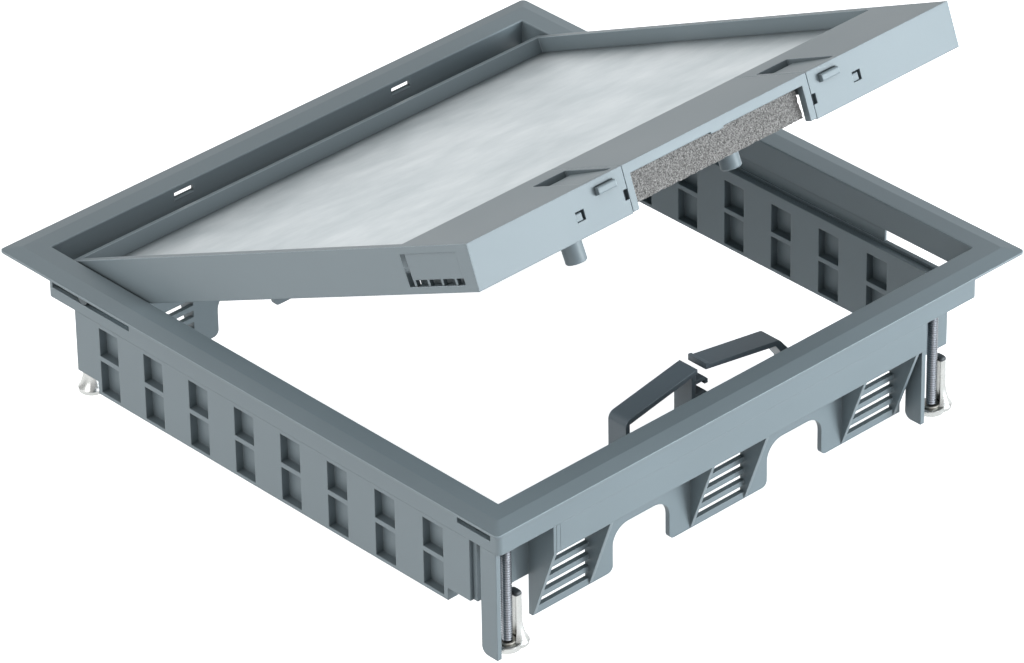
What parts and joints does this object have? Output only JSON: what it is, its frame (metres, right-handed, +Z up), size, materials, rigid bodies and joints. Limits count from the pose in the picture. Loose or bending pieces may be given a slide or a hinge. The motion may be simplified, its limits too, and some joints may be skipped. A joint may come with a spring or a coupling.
{
  "type": "floor service outlet",
  "caption": "Square floor service outlet: bevelled frame with slotted walls and swing-out clamps, and a hinged recessed lid with latches, cord flap and cable bridge.",
  "frame": {"origin": "centre of the frame, on the floor surface under the flange", "axes": "+X along the front edge, +Y from the front to the hinge side, +Z up"},
  "size_m": [0.264, 0.264, 0.1661],
  "materials": {
    "frame_plastic": "moulded blue-grey polyamide, fine matt texture",
    "bridge_plastic": "dark grey polyamide",
    "zinc_steel": "zinc-plated screw steel",
    "brass": "turned brass bush",
    "cast_claw": "bright nickel-plated zinc casting",
    "cap_plastic": "dark grey cap",
    "pin_steel": "plain steel pin",
    "cover_steel": "cloudy galvanised sheet",
    "foam": "open-cell speckled foam",
    "spring_steel": "spring strip"
  },
  "bodies": {
    "frame": {"frame_rim": "frame_plastic", "side_wall_left": "frame_plastic", "side_wall_right": "frame_plastic", "end_wall_front": "frame_plastic", "end_wall_back": "frame_plastic", "corner_blade_front_left": "frame_plastic", "corner_blade_front_right": "frame_plastic", "corner_blade_back_right": "frame_plastic", "corner_blade_back_left": "frame_plastic", "cable_bridge": "bridge_plastic", "gate_pivot": "bridge_plastic"},
    "gate": {"cable_gate": "bridge_plastic"},
    "hinge_slide": {"hinge_pin_left": "pin_steel", "hinge_pin_right": "pin_steel"},
    "lid": {"lid_tray": "frame_plastic", "lid_plate": "cover_steel", "side_blank_left": "frame_plastic", "side_blank_right": "frame_plastic", "lid_feet": "frame_plastic", "latch_spring_left": "spring_steel", "latch_spring_right": "spring_steel"},
    "latch_left": {"latch_slide_left": "frame_plastic"},
    "latch_right": {"latch_slide_right": "frame_plastic"},
    "flap": {"cord_flap": "frame_plastic", "foam_seal": "foam"},
    "screw_front_left": {"clamp_screw_front_left": "zinc_steel"},
    "nut_front_left": {"clamp_nut_front_left": "brass"},
    "claw_front_left": {"clamp_claw_front_left": "cast_claw", "claw_cap_front_left": "cap_plastic"},
    "screw_front_right": {"clamp_screw_front_right": "zinc_steel"},
    "nut_front_right": {"clamp_nut_front_right": "brass"},
    "claw_front_right": {"clamp_claw_front_right": "cast_claw", "claw_cap_front_right": "cap_plastic"},
    "screw_back_right": {"clamp_screw_back_right": "zinc_steel"},
    "nut_back_right": {"clamp_nut_back_right": "brass"},
    "claw_back_right": {"clamp_claw_back_right": "cast_claw", "claw_cap_back_right": "cap_plastic"},
    "screw_back_left": {"clamp_screw_back_left": "zinc_steel"},
    "nut_back_left": {"clamp_nut_back_left": "brass"},
    "claw_back_left": {"clamp_claw_back_left": "cast_claw", "claw_cap_back_left": "cap_plastic"}
  },
  "joints": [
    {"name": "pin_slide", "type": "slide", "parent": "frame", "child": "hinge_slide", "axis": [0, -1, 0], "range_m": [-0.0136, 0.0231]},
    {"name": "lid_hinge", "type": "hinge", "parent": "hinge_slide", "child": "lid", "pos_m": [0, 0.10029, -0.0116], "axis": [-1, 0, 0], "range_deg": [-23.6, 40.3]},
    {"name": "flap_hinge", "type": "hinge", "parent": "lid", "child": "flap", "pos_m": [0, -0.0711, 0.08221], "axis": [-1, 0, 0], "range_deg": [0, 26]},
    {"name": "gate_hinge", "type": "hinge", "parent": "frame", "child": "gate", "pos_m": [0.048, -0.0945, -0.025], "axis": [0, 1, 0], "range_deg": [-3, 10]},
    {"name": "latch_left_slide", "type": "slide", "parent": "lid", "child": "latch_left", "axis": [0, 0.9056, -0.4242], "range_m": [0, 0.003], "stiffness_N_per_m": 400, "springref_m": -0.002, "deforming": ["latch_spring_left"]},
    {"name": "latch_right_slide", "type": "slide", "parent": "lid", "child": "latch_right", "axis": [0, 0.9056, -0.4242], "range_m": [0, 0.003], "stiffness_N_per_m": 400, "springref_m": -0.002, "deforming": ["latch_spring_right"]},
    {"name": "screw_front_left_turn", "type": "hinge", "parent": "frame", "child": "screw_front_left", "pos_m": [-0.1115, -0.1142, -0.0165], "axis": [0, 0, -1], "range_deg": [0, 9000]},
    {"name": "nut_front_left_climb", "type": "slide", "parent": "frame", "child": "nut_front_left", "axis": [0, 0, 1], "range_m": [0, 0.0175]},
    {"name": "claw_front_left_swing", "type": "hinge", "parent": "nut_front_left", "child": "claw_front_left", "pos_m": [-0.1115, -0.1142, -0.0638], "axis": [0, 0, -1], "range_deg": [0, 90]},
    {"name": "screw_front_right_turn", "type": "hinge", "parent": "frame", "child": "screw_front_right", "pos_m": [0.1029, -0.1142, -0.0165], "axis": [0, 0, -1], "range_deg": [0, 9000]},
    {"name": "nut_front_right_climb", "type": "slide", "parent": "frame", "child": "nut_front_right", "axis": [0, 0, 1], "range_m": [0, 0.0175]},
    {"name": "claw_front_right_swing", "type": "hinge", "parent": "nut_front_right", "child": "claw_front_right", "pos_m": [0.1029, -0.1142, -0.0638], "axis": [0, 0, -1], "range_deg": [0, 90]},
    {"name": "screw_back_right_turn", "type": "hinge", "parent": "frame", "child": "screw_back_right", "pos_m": [0.1115, 0.1142, -0.0165], "axis": [0, 0, -1], "range_deg": [0, 9000]},
    {"name": "nut_back_right_climb", "type": "slide", "parent": "frame", "child": "nut_back_right", "axis": [0, 0, 1], "range_m": [0, 0.0175]},
    {"name": "claw_back_right_swing", "type": "hinge", "parent": "nut_back_right", "child": "claw_back_right", "pos_m": [0.1115, 0.1142, -0.0638], "axis": [0, 0, -1], "range_deg": [0, 90]},
    {"name": "screw_back_left_turn", "type": "hinge", "parent": "frame", "child": "screw_back_left", "pos_m": [-0.1029, 0.1142, -0.0165], "axis": [0, 0, -1], "range_deg": [0, 9000]},
    {"name": "nut_back_left_climb", "type": "slide", "parent": "frame", "child": "nut_back_left", "axis": [0, 0, 1], "range_m": [0, 0.0175]},
    {"name": "claw_back_left_swing", "type": "hinge", "parent": "nut_back_left", "child": "claw_back_left", "pos_m": [-0.1029, 0.1142, -0.0638], "axis": [0, 0, -1], "range_deg": [0, 90]}
  ],
  "couplings": [
    {"joint": "pin_slide", "follows": "lid_hinge", "m_per_rad": 0.032659},
    {"joint": "screw_front_left_turn", "follows": "nut_front_left_climb", "rad_per_m": 8976},
    {"joint": "screw_front_right_turn", "follows": "nut_front_right_climb", "rad_per_m": 8976},
    {"joint": "screw_back_right_turn", "follows": "nut_back_right_climb", "rad_per_m": 8976},
    {"joint": "screw_back_left_turn", "follows": "nut_back_left_climb", "rad_per_m": 8976}
  ]
}
